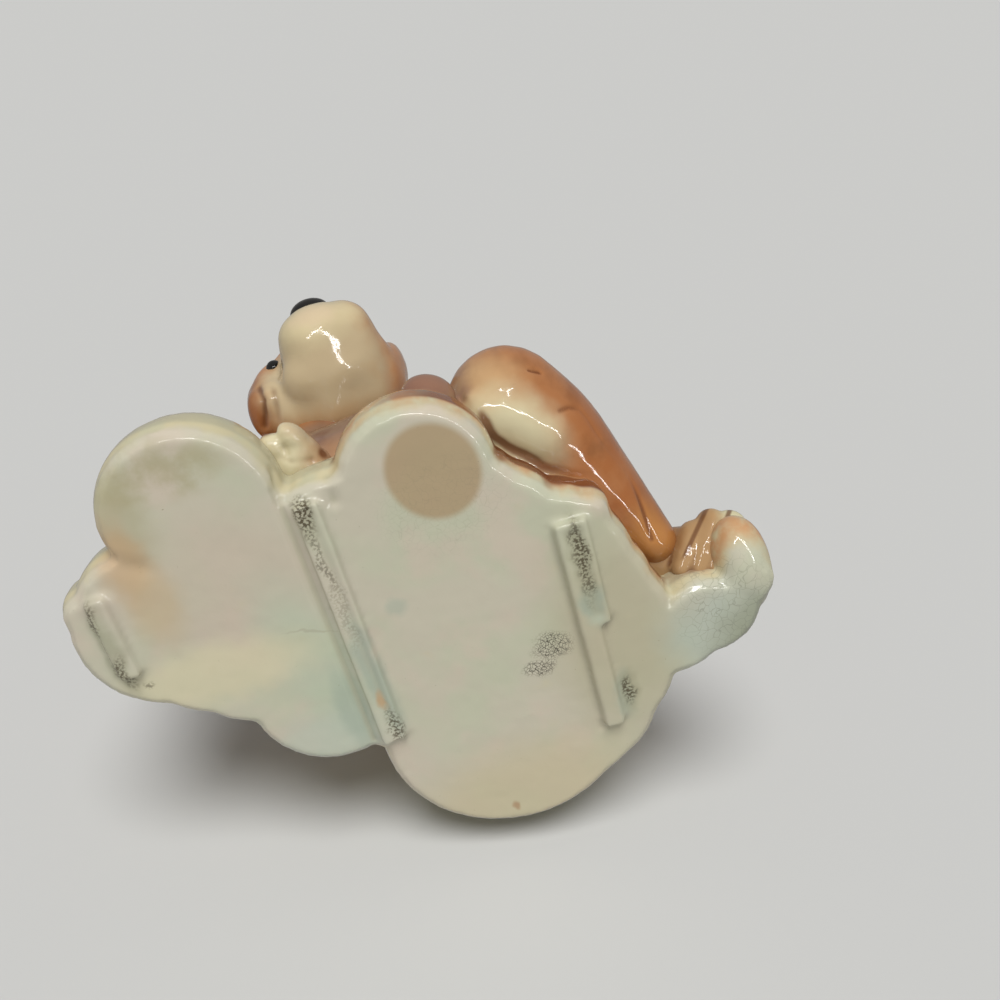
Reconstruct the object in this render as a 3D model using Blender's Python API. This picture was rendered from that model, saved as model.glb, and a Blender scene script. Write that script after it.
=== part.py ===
"""Ceramic dog planter: a hound puppy lying in front of a lobed pot, on a lobed foot with three rails.

The planter is one glazed slip casting. Each member that was modelled on its own and luted to
its neighbours is a solid of its own here, parted from them by a hair gap.
It is set out with +X towards the tail, -Y the way the puppy faces and +Z up, standing on z = 0.
"""

import math

import bmesh
import bpy
from mathutils import Matrix, Vector

# Joints between members
GAP = 0.0003                # hair gap between neighbouring members
OVERRUN = 0.0020            # how far the filled pot runs down past the wall it stands for

# Foot rails: one sole line along y each, the root is wider than the sole by the draft
RAIL_HEIGHT = 0.0025
RAIL_DRAFT = 0.0010
LEFT_RAIL = {"x": -0.0800, "front": -0.0260, "back": -0.0010, "width": 0.0046}
MIDDLE_RAIL = {"x": -0.0200, "front": -0.0352, "back": 0.0430, "width": 0.0056}
RIGHT_RAIL = {"x": 0.0440, "front": -0.0080, "back": 0.0590, "width": 0.0062}

# Slab: round lobes in order round the outline, each x, y and radius
SLAB_THICK = 0.0170
SLAB_FOOT_INSET = 0.0042    # from the widest outline in to the flat underside
SLAB_TOP_INSET = 0.0050     # from the widest outline in to the flat top
SLAB_LOBES = [
    (-0.0485, -0.0388, 0.0248),
    (-0.0140, -0.0040, 0.0370),
    (0.0120, -0.0300, 0.0215),
    (0.0330, -0.0130, 0.0185),
    (0.0410, 0.0060, 0.0195),
    (0.0480, 0.0220, 0.0185),
    (0.0660, 0.0350, 0.0165),
    (0.0805, 0.0295, 0.0180),
    (0.0660, 0.0365, 0.0170),
    (0.0380, 0.0475, 0.0270),
    (0.0110, 0.0575, 0.0350),
    (-0.0170, 0.0370, 0.0140),
    (-0.0360, 0.0255, 0.0210),
    (-0.0555, 0.0105, 0.0155),
    (-0.0678, -0.0136, 0.0260),
]

# Pot: a lobed wall that rises from the slab behind the puppy
POT_HEIGHT = 0.0480
POT_WALL = 0.0050
POT_FLARE = 0.0050          # how far the rim stands out from the pot's foot
POT_LOBES = [
    (-0.0520, -0.0170, 0.0170),
    (-0.0300, 0.0030, 0.0250),
    (-0.0100, 0.0120, 0.0260),
    (0.0140, 0.0220, 0.0270),
    (0.0380, 0.0360, 0.0230),
    (0.0380, 0.0470, 0.0210),
    (0.0110, 0.0565, 0.0295),
    (-0.0075, 0.0275, 0.0220),
    (-0.0325, 0.0195, 0.0220),
    (-0.0450, 0.0055, 0.0200),
    (-0.0635, -0.0100, 0.0210),
]
ARC_STEP = 0.0062           # spacing of the points along the lobes
CLEFT_SOFTNESS = 0.0010     # how far short of a cleft each lobe's arc stops

# Limbs: x, y and height over the slab of the spine, then half width and half height there
TRUNK = [
    (-0.0300, -0.0270, 0.0170, 0.0150, 0.0160),
    (-0.0120, -0.0280, 0.0190, 0.0180, 0.0190),
    (0.0120, -0.0250, 0.0180, 0.0175, 0.0190),
    (0.0340, -0.0150, 0.0160, 0.0165, 0.0185),
    (0.0550, 0.0020, 0.0120, 0.0125, 0.0160),
    (0.0650, 0.0130, 0.0070, 0.0090, 0.0105),
]
NECK = [
    (-0.0210, -0.0260, 0.0280, 0.0150, 0.0150),
    (-0.0190, -0.0300, 0.0420, 0.0155, 0.0150),
    (-0.0160, -0.0330, 0.0520, 0.0150, 0.0145),
]
HAUNCH = [
    (0.0390, -0.0320, 0.0180, 0.0165, 0.0175),
    (0.0470, -0.0205, 0.0180, 0.0165, 0.0190),
    (0.0560, -0.0060, 0.0140, 0.0135, 0.0170),
    (0.0645, 0.0080, 0.0080, 0.0095, 0.0125),
]
HIND_PAW = [
    (0.0460, -0.0240, 0.0050, 0.0085, 0.0065),
    (0.0370, -0.0320, 0.0060, 0.0090, 0.0070),
    (0.0300, -0.0350, 0.0065, 0.0085, 0.0062),
]
RIGHT_FORELEG = [
    (-0.0290, -0.0290, 0.0220, 0.0100, 0.0110),
    (-0.0260, -0.0335, 0.0120, 0.0090, 0.0090),
    (-0.0215, -0.0355, 0.0050, 0.0080, 0.0070),
]
LEFT_FORELEG = [
    (0.0020, -0.0330, 0.0180, 0.0090, 0.0100),
    (0.0100, -0.0360, 0.0120, 0.0080, 0.0080),
    (0.0160, -0.0380, 0.0090, 0.0075, 0.0065),
]
RIGHT_PAW = [
    (-0.0200, -0.0360, 0.0020, 0.0080, 0.0062),
    (-0.0225, -0.0405, 0.0010, 0.0085, 0.0058),
]
LEFT_PAW = [
    (0.0170, -0.0370, 0.0070, 0.0078, 0.0058),
    (0.0185, -0.0405, 0.0065, 0.0082, 0.0055),
]
TAIL = [
    (0.0640, 0.0160, 0.0040, 0.0080, 0.0080),
    (0.0720, 0.0200, 0.0035, 0.0095, 0.0085),
    (0.0790, 0.0240, 0.0030, 0.0100, 0.0085),
]
TAIL_LOCKS = [
    [(0.0700, 0.0175, 0.0035, 0.0065, 0.0070), (0.0770, 0.0145, 0.0025, 0.0065, 0.0070),
     (0.0805, 0.0130, 0.0020, 0.0055, 0.0060)],
    [(0.0720, 0.0190, 0.0040, 0.0070, 0.0070), (0.0820, 0.0185, 0.0030, 0.0080, 0.0080),
     (0.0880, 0.0180, 0.0020, 0.0072, 0.0075)],
    [(0.0730, 0.0220, 0.0040, 0.0070, 0.0070), (0.0840, 0.0260, 0.0025, 0.0080, 0.0080),
     (0.0900, 0.0285, 0.0015, 0.0076, 0.0076)],
]

# Toes on the end of a paw: half sizes and how far apart they stand
TOE_COUNT = 3
TOE_HALF = (0.0029, 0.0052, 0.0036)
TOE_PITCH = 0.0050
TOE_SETBACK = 0.25          # how far an outer toe falls back, as a share of its distance aside

# Head: its middle over the slab, and its parts set out from there, nose to -Y, crown to +Z
HEAD_PLACE = (-0.0145, -0.0350, 0.0625)
HEAD_YAW = math.radians(2)
HEAD_ROLL = math.radians(-22)
SKULL_HALF = (0.0230, 0.0230, 0.0215)
EYE_TURN = math.radians(41)     # from the skull's side round towards the nose
EYE_LIFT = math.radians(7)      # up from the skull's middle
EYE_RADIUS = 0.0026
NOSE_REACH = 0.0085             # from the skull's front to the nose's middle
NOSE_DROP = 0.0085              # down from the skull's middle
NOSE_HALF = (0.0064, 0.0046, 0.0048)

# Muzzle: how far before the skull's front and how far below its middle, half width, half height
MUZZLE = [
    (-0.0170, 0.0120, 0.0180, 0.0130),
    (-0.0070, 0.0130, 0.0175, 0.0125),
    (-0.0005, 0.0140, 0.0155, 0.0115),
]

# Ears: how far in from the skull's side, y and height from its middle, half width, half height
RIGHT_EAR = [
    (0.0065, 0.0010, 0.0105, 0.0060, 0.0035),
    (0.0020, -0.0020, 0.0035, 0.0080, 0.0038),
    (0.0010, -0.0050, -0.0075, 0.0090, 0.0040),
    (0.0025, -0.0075, -0.0195, 0.0080, 0.0036),
]
LEFT_EAR = [
    (0.0060, 0.0000, 0.0135, 0.0060, 0.0035),
    (0.0015, -0.0010, 0.0065, 0.0080, 0.0038),
    (0.0008, -0.0040, -0.0045, 0.0090, 0.0040),
    (0.0020, -0.0070, -0.0155, 0.0080, 0.0036),
]

# Facets
SIDES = 16                  # sides of a limb's cross-section
FINE_SIDES = 12             # sides of an ear or a lock of the tail
SPLINE_STEPS = 2            # rings from one station of a limb to the next
DOME = (72, 45, 22)         # degrees from the widest ring of a limb's end to the rings of its dome
SKULL_FACETS = (20, 14)     # segments and rings of each ball
NOSE_FACETS = (14, 8)
EYE_FACETS = (12, 8)
TOE_FACETS = (10, 8)

CREAM = (0.72, 0.66, 0.48, 1.0)
BROWN = (0.42, 0.17, 0.06, 1.0)
TAN = (0.55, 0.30, 0.14, 1.0)
BLACK = (0.012, 0.011, 0.010, 1.0)
GLAZED = 0.15               # roughness of the glaze
WIPED = 0.35                # roughness of the rails, whose soles were wiped before firing

SLAB_BOTTOM = RAIL_HEIGHT + GAP
SLAB_TOP = SLAB_BOTTOM + SLAB_THICK
POT_BOTTOM = SLAB_TOP + GAP
POT_TOP = POT_BOTTOM + POT_HEIGHT

# Share of the slab's thickness, and which inset applies there with how much of it
SLAB_PROFILE = [(0.00, SLAB_FOOT_INSET, 1.0), (0.12, SLAB_FOOT_INSET, 0.50), (0.40, SLAB_FOOT_INSET, 0.0),
                (0.72, SLAB_TOP_INSET, 0.15), (0.92, SLAB_TOP_INSET, 0.50), (1.00, SLAB_TOP_INSET, 1.0)]
# Share of the pot's height, and how much of its flare is reached there
POT_PROFILE = [(0.0, 0.0), (0.30, 0.12), (0.65, 0.50), (0.95, 1.0)]
RIM_SHARES = (0.3, 0.7)     # where the flat of the rounded rim starts and ends, across the wall


def crossing(first, second):
    """The outer point where one lobe meets the next; lobes that miss meet on their centre line."""
    start, end = Vector(first[:2]), Vector(second[:2])
    apart = (end - start).length
    along = (end - start) / apart
    outward = Vector((along.y, -along.x))
    reach = (first[2] ** 2 - second[2] ** 2 + apart ** 2) / (2 * apart)
    height = math.sqrt(max(first[2] ** 2 - reach ** 2, 0.0))
    return start + along * reach + outward * height


def lobe_arcs(lobes):
    """Each lobe's centre, radius, start angle and sweep, anticlockwise."""
    arcs = []
    for index, lobe in enumerate(lobes):
        centre = Vector(lobe[:2])
        start = crossing(lobes[index - 1], lobe) - centre
        end = crossing(lobe, lobes[(index + 1) % len(lobes)]) - centre
        angle = math.atan2(start.y, start.x)
        sweep = (math.atan2(end.y, end.x) - angle) % (2 * math.pi)
        arcs.append((centre, lobe[2], angle, sweep))
    return arcs


def outline(lobes, inset, height):
    """A closed ring of points along the lobes' arcs, with the same count at any inset."""
    counts = [max(2, round(radius * sweep / ARC_STEP)) for _, radius, _, sweep in lobe_arcs(lobes)]
    shrunk = [(x, y, radius - inset) for x, y, radius in lobes]
    ring = []
    for count, (centre, radius, angle, sweep) in zip(counts, lobe_arcs(shrunk)):
        spare = min(CLEFT_SOFTNESS / radius, sweep / 4)
        for step in range(count):
            turn = angle + spare + (sweep - 2 * spare) * step / (count - 1)
            spoke = Vector((math.cos(turn), math.sin(turn))) * radius
            ring.append(Vector((centre.x + spoke.x, centre.y + spoke.y, height)))
    return ring


def material(name, colour, roughness):
    """A glazed finish for one member."""
    made = bpy.data.materials.new(name)
    made.use_nodes = True
    shader = made.node_tree.nodes["Principled BSDF"]
    shader.inputs["Base Color"].default_value = colour
    shader.inputs["Roughness"].default_value = roughness
    shader.inputs["Metallic"].default_value = 0.0
    made.diffuse_color = colour
    return made


def keep(bm, name, collection, colour=None, roughness=GLAZED):
    """Turn a bmesh into a named object with its own finish."""
    bmesh.ops.recalc_face_normals(bm, faces=bm.faces)
    mesh = bpy.data.meshes.new(name)
    bm.to_mesh(mesh)
    bm.free()
    mesh.shade_smooth()
    made = bpy.data.objects.new(name, mesh)
    collection.objects.link(made)
    if colour is not None:
        mesh.materials.append(material(name + "_glaze", colour, roughness))
    return made


def loft(rings, capped=True):
    """A closed body through unlike rings of equal count: capped, or joined end to start."""
    bm = bmesh.new()
    loops = [[bm.verts.new(point) for point in ring] for ring in rings]
    if capped:
        bm.faces.new(loops[0])
        bm.faces.new(loops[-1])
    else:
        loops.append(loops[0])
    for lower, upper in zip(loops, loops[1:]):
        for side in range(len(lower)):
            bm.faces.new((lower[side - 1], lower[side], upper[side], upper[side - 1]))
    return bm


def spline(stations):
    """Extra stations on a smooth curve through the given ones."""
    ends = [stations[0]] + stations + [stations[-1]]
    points = []
    for around in zip(ends, ends[1:], ends[2:], ends[3:]):
        for step in range(SPLINE_STEPS):
            t = step / SPLINE_STEPS
            weights = (
                -0.5 * t + t * t - 0.5 * t ** 3,
                1 - 2.5 * t * t + 1.5 * t ** 3,
                0.5 * t + 2 * t * t - 1.5 * t ** 3,
                -0.5 * t * t + 0.5 * t ** 3,
            )
            points.append([sum(w * s[k] for w, s in zip(weights, around)) for k in range(5)])
    points.append(stations[-1])
    return points


def oval(place, along, upward, half_width, half_height, sides):
    """One ring of a limb, square to the way it runs."""
    across = along.cross(Vector(upward)).normalized()
    rise = across.cross(along).normalized()
    turns = [2 * math.pi * side / sides for side in range(sides)]
    return [place + across * half_width * math.cos(turn) + rise * half_height * math.sin(turn) for turn in turns]


def dome(station, outward, along, upward, sides):
    """Rings of a limb's rounded end, from the tip inwards."""
    width, height = station[3], station[4]
    rings = []
    for degrees in DOME:
        turn = math.radians(degrees)
        place = Vector(station[:3]) + outward * min(width, height) * math.sin(turn)
        rings.append(oval(place, along, upward, width * math.cos(turn), height * math.cos(turn), sides))
    return rings


def limb_bmesh(stations, base, grow=0.0, upward=(0, 0, 1), sides=SIDES):
    """A tapering limb over a base height, with oval sections and domed ends, grown outwards."""
    points = [(x, y, base + z, width + grow, height + grow) for x, y, z, width, height in spline(stations)]
    spine = [Vector(point[:3]) for point in points]
    first_way = (spine[1] - spine[0]).normalized()
    last_way = (spine[-1] - spine[-2]).normalized()
    rings = dome(points[0], -first_way, first_way, upward, sides)
    for index, point in enumerate(points):
        along = (spine[min(index + 1, len(spine) - 1)] - spine[max(index - 1, 0)]).normalized()
        rings.append(oval(spine[index], along, upward, point[3], point[4], sides))
    rings += reversed(dome(points[-1], last_way, last_way, upward, sides))
    return loft(rings)


def ball_bmesh(place, half, grow, facets):
    """An ellipsoid given by its three half sizes."""
    bm = bmesh.new()
    bmesh.ops.create_uvsphere(bm, u_segments=facets[0], v_segments=facets[1], radius=1.0)
    size = Matrix.Diagonal((half[0] + grow, half[1] + grow, half[2] + grow, 1.0))
    bmesh.ops.transform(bm, matrix=Matrix.Translation(place) @ size, verts=bm.verts)
    return bm


def toe_bmesh(paw, number, grow):
    """One toe on the end of a paw, side by side with its fellows."""
    rise = Vector((0, 0, SLAB_TOP))
    root, tip = Vector(paw[0][:3]) + rise, Vector(paw[-1][:3]) + rise
    along = (tip - root).normalized()
    across = along.cross(Vector((0, 0, 1))).normalized()
    aside = (number - (TOE_COUNT - 1) / 2) * TOE_PITCH
    place = tip + across * aside + along * (paw[-1][4] - abs(aside) * TOE_SETBACK)
    bm = ball_bmesh((0, 0, 0), TOE_HALF, grow, TOE_FACETS)
    turn = Vector((0, -1, 0)).rotation_difference(along).to_matrix().to_4x4()
    bmesh.ops.transform(bm, matrix=Matrix.Translation(place) @ turn, verts=bm.verts)
    return bm


def on_head(bm):
    """Turn and carry a shape set out from the head's middle to its place."""
    place = Vector(HEAD_PLACE) + Vector((0, 0, SLAB_TOP))
    turn = Matrix.Rotation(HEAD_YAW, 4, "Z") @ Matrix.Rotation(HEAD_ROLL, 4, "Y")
    bmesh.ops.transform(bm, matrix=Matrix.Translation(place) @ turn, verts=bm.verts)
    return bm


def slab_bmesh(grow=0.0):
    """Lobed slab with a cushion edge, a flat underside and a flat top."""
    rings = []
    for share, inset, amount in SLAB_PROFILE:
        height = SLAB_BOTTOM - grow + share * (SLAB_THICK + 2 * grow)
        rings.append(outline(SLAB_LOBES, inset * amount - grow, height))
    return loft(rings)


def pot_ring(inset, share, flare):
    """The pot's outline at a share of its height, flared there by a share of its flare."""
    return outline(POT_LOBES, inset - POT_FLARE * flare, POT_BOTTOM + share * POT_HEIGHT)


def pot_bmesh():
    """Lobed wall of even thickness, flared and with a rounded rim."""
    rings = [pot_ring(0.0, share, flare) for share, flare in POT_PROFILE]
    rings += [pot_ring(POT_WALL * share, 1.0, 1.0) for share in RIM_SHARES]
    rings += [pot_ring(POT_WALL, share, flare) for share, flare in reversed(POT_PROFILE)]
    return loft(rings, capped=False)


def filled_pot_bmesh(grow):
    """The pot's outer form, filled up to its rim, for cutting what leans against it."""
    rings = [outline(POT_LOBES, -grow, POT_BOTTOM - OVERRUN)]
    rings += [pot_ring(-grow, share, flare) for share, flare in POT_PROFILE]
    rings.append(outline(POT_LOBES, -grow - POT_FLARE, POT_TOP + grow))
    return loft(rings)


def rail_bmesh(rail):
    """A straight rail with sloped sides, narrow at the sole."""
    middle = (rail["front"] + rail["back"]) / 2
    length = rail["back"] - rail["front"]
    bm = bmesh.new()
    bmesh.ops.create_cube(bm, size=1.0)
    size = Matrix.Diagonal((rail["width"] + 2 * RAIL_DRAFT, length + 2 * RAIL_DRAFT, RAIL_HEIGHT, 1.0))
    place = Matrix.Translation((rail["x"], middle, RAIL_HEIGHT / 2))
    bmesh.ops.transform(bm, matrix=place @ size, verts=bm.verts)
    for vert in bm.verts:
        if vert.co.z < RAIL_HEIGHT / 2:
            vert.co.x += RAIL_DRAFT if vert.co.x < rail["x"] else -RAIL_DRAFT
            vert.co.y += RAIL_DRAFT if vert.co.y < middle else -RAIL_DRAFT
    return bm


def limb_maker(stations, upward=(0, 0, 1), sides=SIDES):
    """A function that makes a limb on the slab, grown by any amount."""
    return lambda grow: limb_bmesh(stations, SLAB_TOP, grow, upward, sides)


def muzzle_bmesh(grow):
    """The muzzle with the lips and the chin in one."""
    stations = [(0.0, -SKULL_HALF[1] - reach, -drop, width, height) for reach, drop, width, height in MUZZLE]
    return on_head(limb_bmesh(stations, 0.0, grow))


def head_ball_maker(place, half, facets):
    """A function that makes an ellipsoid on the head, grown by any amount."""
    return lambda grow: on_head(ball_bmesh(place, half, grow, facets))


def eye_maker(side):
    """A function that makes an eye with its middle on the skull's surface, on the side of that sign."""
    level = math.cos(EYE_LIFT)
    place = (
        side * SKULL_HALF[0] * level * math.cos(EYE_TURN),
        -SKULL_HALF[1] * level * math.sin(EYE_TURN),
        SKULL_HALF[2] * math.sin(EYE_LIFT),
    )
    return head_ball_maker(place, (EYE_RADIUS, EYE_RADIUS, EYE_RADIUS), EYE_FACETS)


def ear_maker(side, stations):
    """A function that makes an ear that hangs down the skull's side of that sign."""
    x, y, z = HEAD_PLACE
    hung = [(x + side * (SKULL_HALF[0] - inward), y + back, z + rise, width, height)
            for inward, back, rise, width, height in stations]
    return limb_maker(hung, (1, 0, 0), FINE_SIDES)


# How each member is made, its colour, and the members that it is cut by
MEMBERS = {
    "filled_pot": (filled_pot_bmesh, None, ()),
    "base_slab": (slab_bmesh, CREAM, ()),
    "dog_trunk": (limb_maker(TRUNK), BROWN, ("base_slab", "filled_pot")),
    "dog_haunch": (limb_maker(HAUNCH), BROWN, ("base_slab", "filled_pot", "dog_trunk")),
    "dog_hind_paw": (limb_maker(HIND_PAW), CREAM, ("base_slab", "dog_trunk", "dog_haunch")),
    "dog_tail": (limb_maker(TAIL), CREAM, ("base_slab", "filled_pot", "dog_trunk", "dog_haunch")),
    "dog_neck": (limb_maker(NECK, (0, -1, 0)), BROWN, ("filled_pot", "dog_trunk")),
    "dog_foreleg_right": (
        limb_maker(RIGHT_FORELEG), BROWN, ("base_slab", "filled_pot", "dog_trunk", "dog_neck")),
    "dog_foreleg_left": (
        limb_maker(LEFT_FORELEG), BROWN, ("base_slab", "dog_trunk", "dog_neck", "dog_hind_paw")),
    "dog_paw_right": (limb_maker(RIGHT_PAW), CREAM, ("base_slab", "dog_trunk", "dog_foreleg_right")),
    "dog_paw_left": (
        limb_maker(LEFT_PAW), TAN,
        ("base_slab", "dog_trunk", "dog_foreleg_left", "dog_hind_paw", "dog_haunch")),
    "dog_skull": (
        head_ball_maker((0, 0, 0), SKULL_HALF, SKULL_FACETS), BROWN, ("dog_trunk", "filled_pot", "dog_neck")),
    "dog_muzzle": (muzzle_bmesh, CREAM, ("dog_trunk", "dog_neck", "dog_skull")),
    "dog_nose": (
        head_ball_maker((0.0, -SKULL_HALF[1] - NOSE_REACH, -NOSE_DROP), NOSE_HALF, NOSE_FACETS), BLACK,
        ("dog_muzzle",)),
    "dog_eye_right": (eye_maker(-1), BLACK, ("dog_muzzle", "dog_skull")),
    "dog_eye_left": (eye_maker(1), BLACK, ("dog_muzzle", "dog_skull")),
    "dog_ear_right": (
        ear_maker(-1, RIGHT_EAR), BROWN,
        ("dog_trunk", "dog_foreleg_right", "filled_pot", "dog_neck", "dog_muzzle", "dog_skull")),
    "dog_ear_left": (
        ear_maker(1, LEFT_EAR), BROWN,
        ("dog_trunk", "dog_foreleg_left", "filled_pot", "dog_neck", "dog_muzzle", "dog_skull")),
}


def combine(target, other, operation):
    """Unite the other form with the target, or take it out."""
    step = target.modifiers.new(operation.lower() + "_" + other.name, "BOOLEAN")
    step.operation = operation
    step.solver = "EXACT"
    step.object = other


def helper(bm, name, collection):
    """A form that only shapes other members: shown as wire and never rendered."""
    made = keep(bm, name, collection)
    made.display_type = "WIRE"
    made.hide_render = True
    return made


def unite_add_ons(target, name, grow, helpers):
    """Unite a member with what grows out of it: the toes of a paw, the locks of the tail."""
    paws = {"dog_paw_right": RIGHT_PAW, "dog_paw_left": LEFT_PAW, "dog_hind_paw": HIND_PAW}
    extras = []
    if name in paws:
        extras = [toe_bmesh(paws[name], number, grow) for number in range(TOE_COUNT)]
    if name == "dog_tail":
        extras = [limb_maker(lock, sides=FINE_SIDES)(grow) for lock in TAIL_LOCKS]
    for number, extra in enumerate(extras, 1):
        combine(target, helper(extra, target.name + "_part_" + str(number), helpers), "UNION")


def centre_on_foot(planter, datum):
    """Bring the middle of the whole planter's box over the origin."""
    graph = bpy.context.evaluated_depsgraph_get()
    low, high = Vector((1, 1, 1)), Vector((-1, -1, -1))
    for item in planter.objects:
        if item.type == "MESH":
            shown = item.evaluated_get(graph)
            for vert in shown.data.vertices:
                place = shown.matrix_world @ vert.co
                low = Vector(map(min, low, place))
                high = Vector(map(max, high, place))
    datum.location = (-(low.x + high.x) / 2, -(low.y + high.y) / 2, 0.0)
    bpy.context.view_layer.update()


def main():
    for item in list(bpy.data.objects):
        bpy.data.objects.remove(item, do_unlink=True)
    planter = bpy.data.collections.new("ceramic_dog_planter")
    helpers = bpy.data.collections.new("cutters")
    bpy.context.scene.collection.children.link(planter)
    bpy.context.scene.collection.children.link(helpers)
    datum = bpy.data.objects.new("datum", None)
    planter.objects.link(datum)

    for name, rail in (("left", LEFT_RAIL), ("middle", MIDDLE_RAIL), ("right", RIGHT_RAIL)):
        keep(rail_bmesh(rail), "foot_rail_" + name, planter, CREAM, WIPED)
    keep(pot_bmesh(), "pot_wall", planter, CREAM)

    forms = {}
    for name, (make, colour, cut_by) in MEMBERS.items():
        forms[name] = helper(make(GAP), name + "_cutter", helpers)
        unite_add_ons(forms[name], name, GAP, helpers)
        if colour is None:
            continue
        member = keep(make(0.0), name, planter, colour)
        unite_add_ons(member, name, 0.0, helpers)
        for other in cut_by:
            combine(member, forms[other], "DIFFERENCE")

    for item in list(planter.objects) + list(helpers.objects):
        if item is not datum:
            item.parent = datum
    centre_on_foot(planter, datum)


main()
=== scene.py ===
"""Looks of a ceramic dog planter: its softened clay forms and its glazes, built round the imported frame.

Forms are set out in millimetres, with +X towards the puppy's tail, -Y the way it faces and +Z up.
The stage and the camera show the planter lying on its back, with its underside to the front.
"""

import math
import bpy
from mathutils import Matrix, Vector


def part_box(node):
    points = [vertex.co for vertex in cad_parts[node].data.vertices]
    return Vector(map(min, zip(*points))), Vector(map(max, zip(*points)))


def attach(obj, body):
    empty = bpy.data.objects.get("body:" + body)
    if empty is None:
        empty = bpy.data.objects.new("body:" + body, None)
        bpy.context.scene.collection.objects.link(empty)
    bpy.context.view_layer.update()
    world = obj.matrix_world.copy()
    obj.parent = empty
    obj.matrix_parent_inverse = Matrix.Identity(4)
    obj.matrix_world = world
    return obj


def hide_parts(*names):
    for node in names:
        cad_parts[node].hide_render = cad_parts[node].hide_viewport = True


bl_info = {
    "name": "Ceramic Dog Planter",
    "version": (1, 0, 0),
    "blender": (4, 5, 0),
    "location": "View3D > Sidebar > Dog Planter",
    "description": "Builds a glazed planter with a reclining hound puppy, its stage, lights and camera",
    "category": "Add Mesh",
}

import bmesh
import bpy
import numpy as np
from mathutils import Matrix, Vector, noise

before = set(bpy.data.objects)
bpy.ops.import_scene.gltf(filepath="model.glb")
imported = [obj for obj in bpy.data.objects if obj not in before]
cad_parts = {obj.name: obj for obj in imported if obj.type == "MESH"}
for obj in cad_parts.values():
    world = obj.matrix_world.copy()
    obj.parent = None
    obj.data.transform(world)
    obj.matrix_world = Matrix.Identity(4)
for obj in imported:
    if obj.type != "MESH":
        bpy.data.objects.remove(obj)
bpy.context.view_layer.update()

MM = 0.001

# Where the set-out lies in the frame: the middle rail's middle is known in both
RAIL_MIDDLE = (-20.0, 3.9)
RAIL_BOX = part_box("foot_rail_middle")
SHIFT = Vector((
    (RAIL_BOX[0].x + RAIL_BOX[1].x) / (2 * MM) - RAIL_MIDDLE[0],
    (RAIL_BOX[0].y + RAIL_BOX[1].y) / (2 * MM) - RAIL_MIDDLE[1],
    0.0,
))
SLAB_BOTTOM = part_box("base_slab")[0].z / MM
SLAB_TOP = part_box("base_slab")[1].z / MM
POT_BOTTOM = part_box("pot_wall")[0].z / MM
POT_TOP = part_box("pot_wall")[1].z / MM

# Foot: round lobes in order round its edge, each x, y and radius
FOOT_LOBES = [
    (-49.0, -39.5, 25.0), (-14.0, -4.0, 37.0), (8.9, -31.2, 22.3), (13.2, -14.3, 25.0), (21.5, -5.6, 25.0),
    (38.1, 0.8, 20.0), (49.6, -7.8, 7.2), (32.2, -1.7, 25.0), (35.9, 8.7, 25.0), (39.5, 19.0, 25.0),
    (43.2, 29.4, 25.0), (75.0, 36.5, 16.0), (89.3, 27.0, 8.8), (77.0, 31.5, 16.4), (66.0, 34.0, 17.3),
    (40.5, 42.3, 25.0), (33.3, 52.0, 25.0), (28.6, 55.2, 25.0), (12.5, 49.5, 38.3), (-19.0, 37.0, 12.0),
    (-33.7, 23.7, 23.2), (-48.4, 3.4, 24.6), (-57.3, -3.5, 25.0), (-68.6, -10.8, 25.0), (-85.0, -20.5, 7.6),
    (-70.0, -16.2, 20.0),
]
FOOT_ROLL = 3.6                                     # how far the belly of the edge reaches in
FOOT_EDGE = [(3.0, 0.0), (1.4, 1.4)]                # steps of the rounded arris: inset and height
KNOB = ((89.3, 25.0, 12.2), (8.9, 15.5, 10.2))      # the foot swells up into the tail: middle and half sizes

# Rails: x, front and back of the sole line, and the sole's width; the right one narrows to its left side
RAILS = [
    (-80.0, -26.0, -1.0, 4.6), (-20.0, -35.2, 43.0, 5.6), (44.0, -9.5, 24.0, 8.2), (42.4, 22.0, 59.0, 4.8),
]
RAIL_DRAFT = 1.0
RAIL_BED = (2.0, 2.5, 1.4)      # soft swell under a rail: short of its ends, wider a side, half height

# Hollows in the underside, each a line through places, its half width, its depth and how much glaze pools
# (painted shade on the rails' left banks)
FOOT_GROOVES = [
    ([(-26.3, -40.0, 2.8), (-26.3, 42.0, 2.8)], 1.1, 0.9, 0.5),
    ([(-20.0, -34.0, 0.0), (-19.0, 44.0, 0.0)], 1.6, 1.0, 0.3),
    ([(38.0, -8.0, 2.8), (38.4, 60.0, 2.8)], 1.2, 0.5, 0.25),
    ([(44.6, -5.0, 0.0), (45.0, 20.0, 0.0)], 2.4, 1.0, 0.4),
    ([(-13.0, -41.0, 6.0), (-13.0, -33.0, 2.8)], 1.6, 0.8, 0.4),
    ([(-24.5, -44.0, 6.0), (-25.0, -38.0, 2.8)], 1.6, 0.9, 0.5),
    ([(-76.0, -36.0, 6.0), (-66.0, -30.0, 2.8)], 3.0, 0.7, 0.0),
]

# Where the puppy's brown has run along the foot's edge: inset and height of the line, then as the hollows
FOOT_SEAM = (0.9, 11.8, 3.4, 0.4, 1.0)
BODY_SEAM = (0.5, SLAB_TOP, 1.6, 0.2, 1.0)

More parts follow.
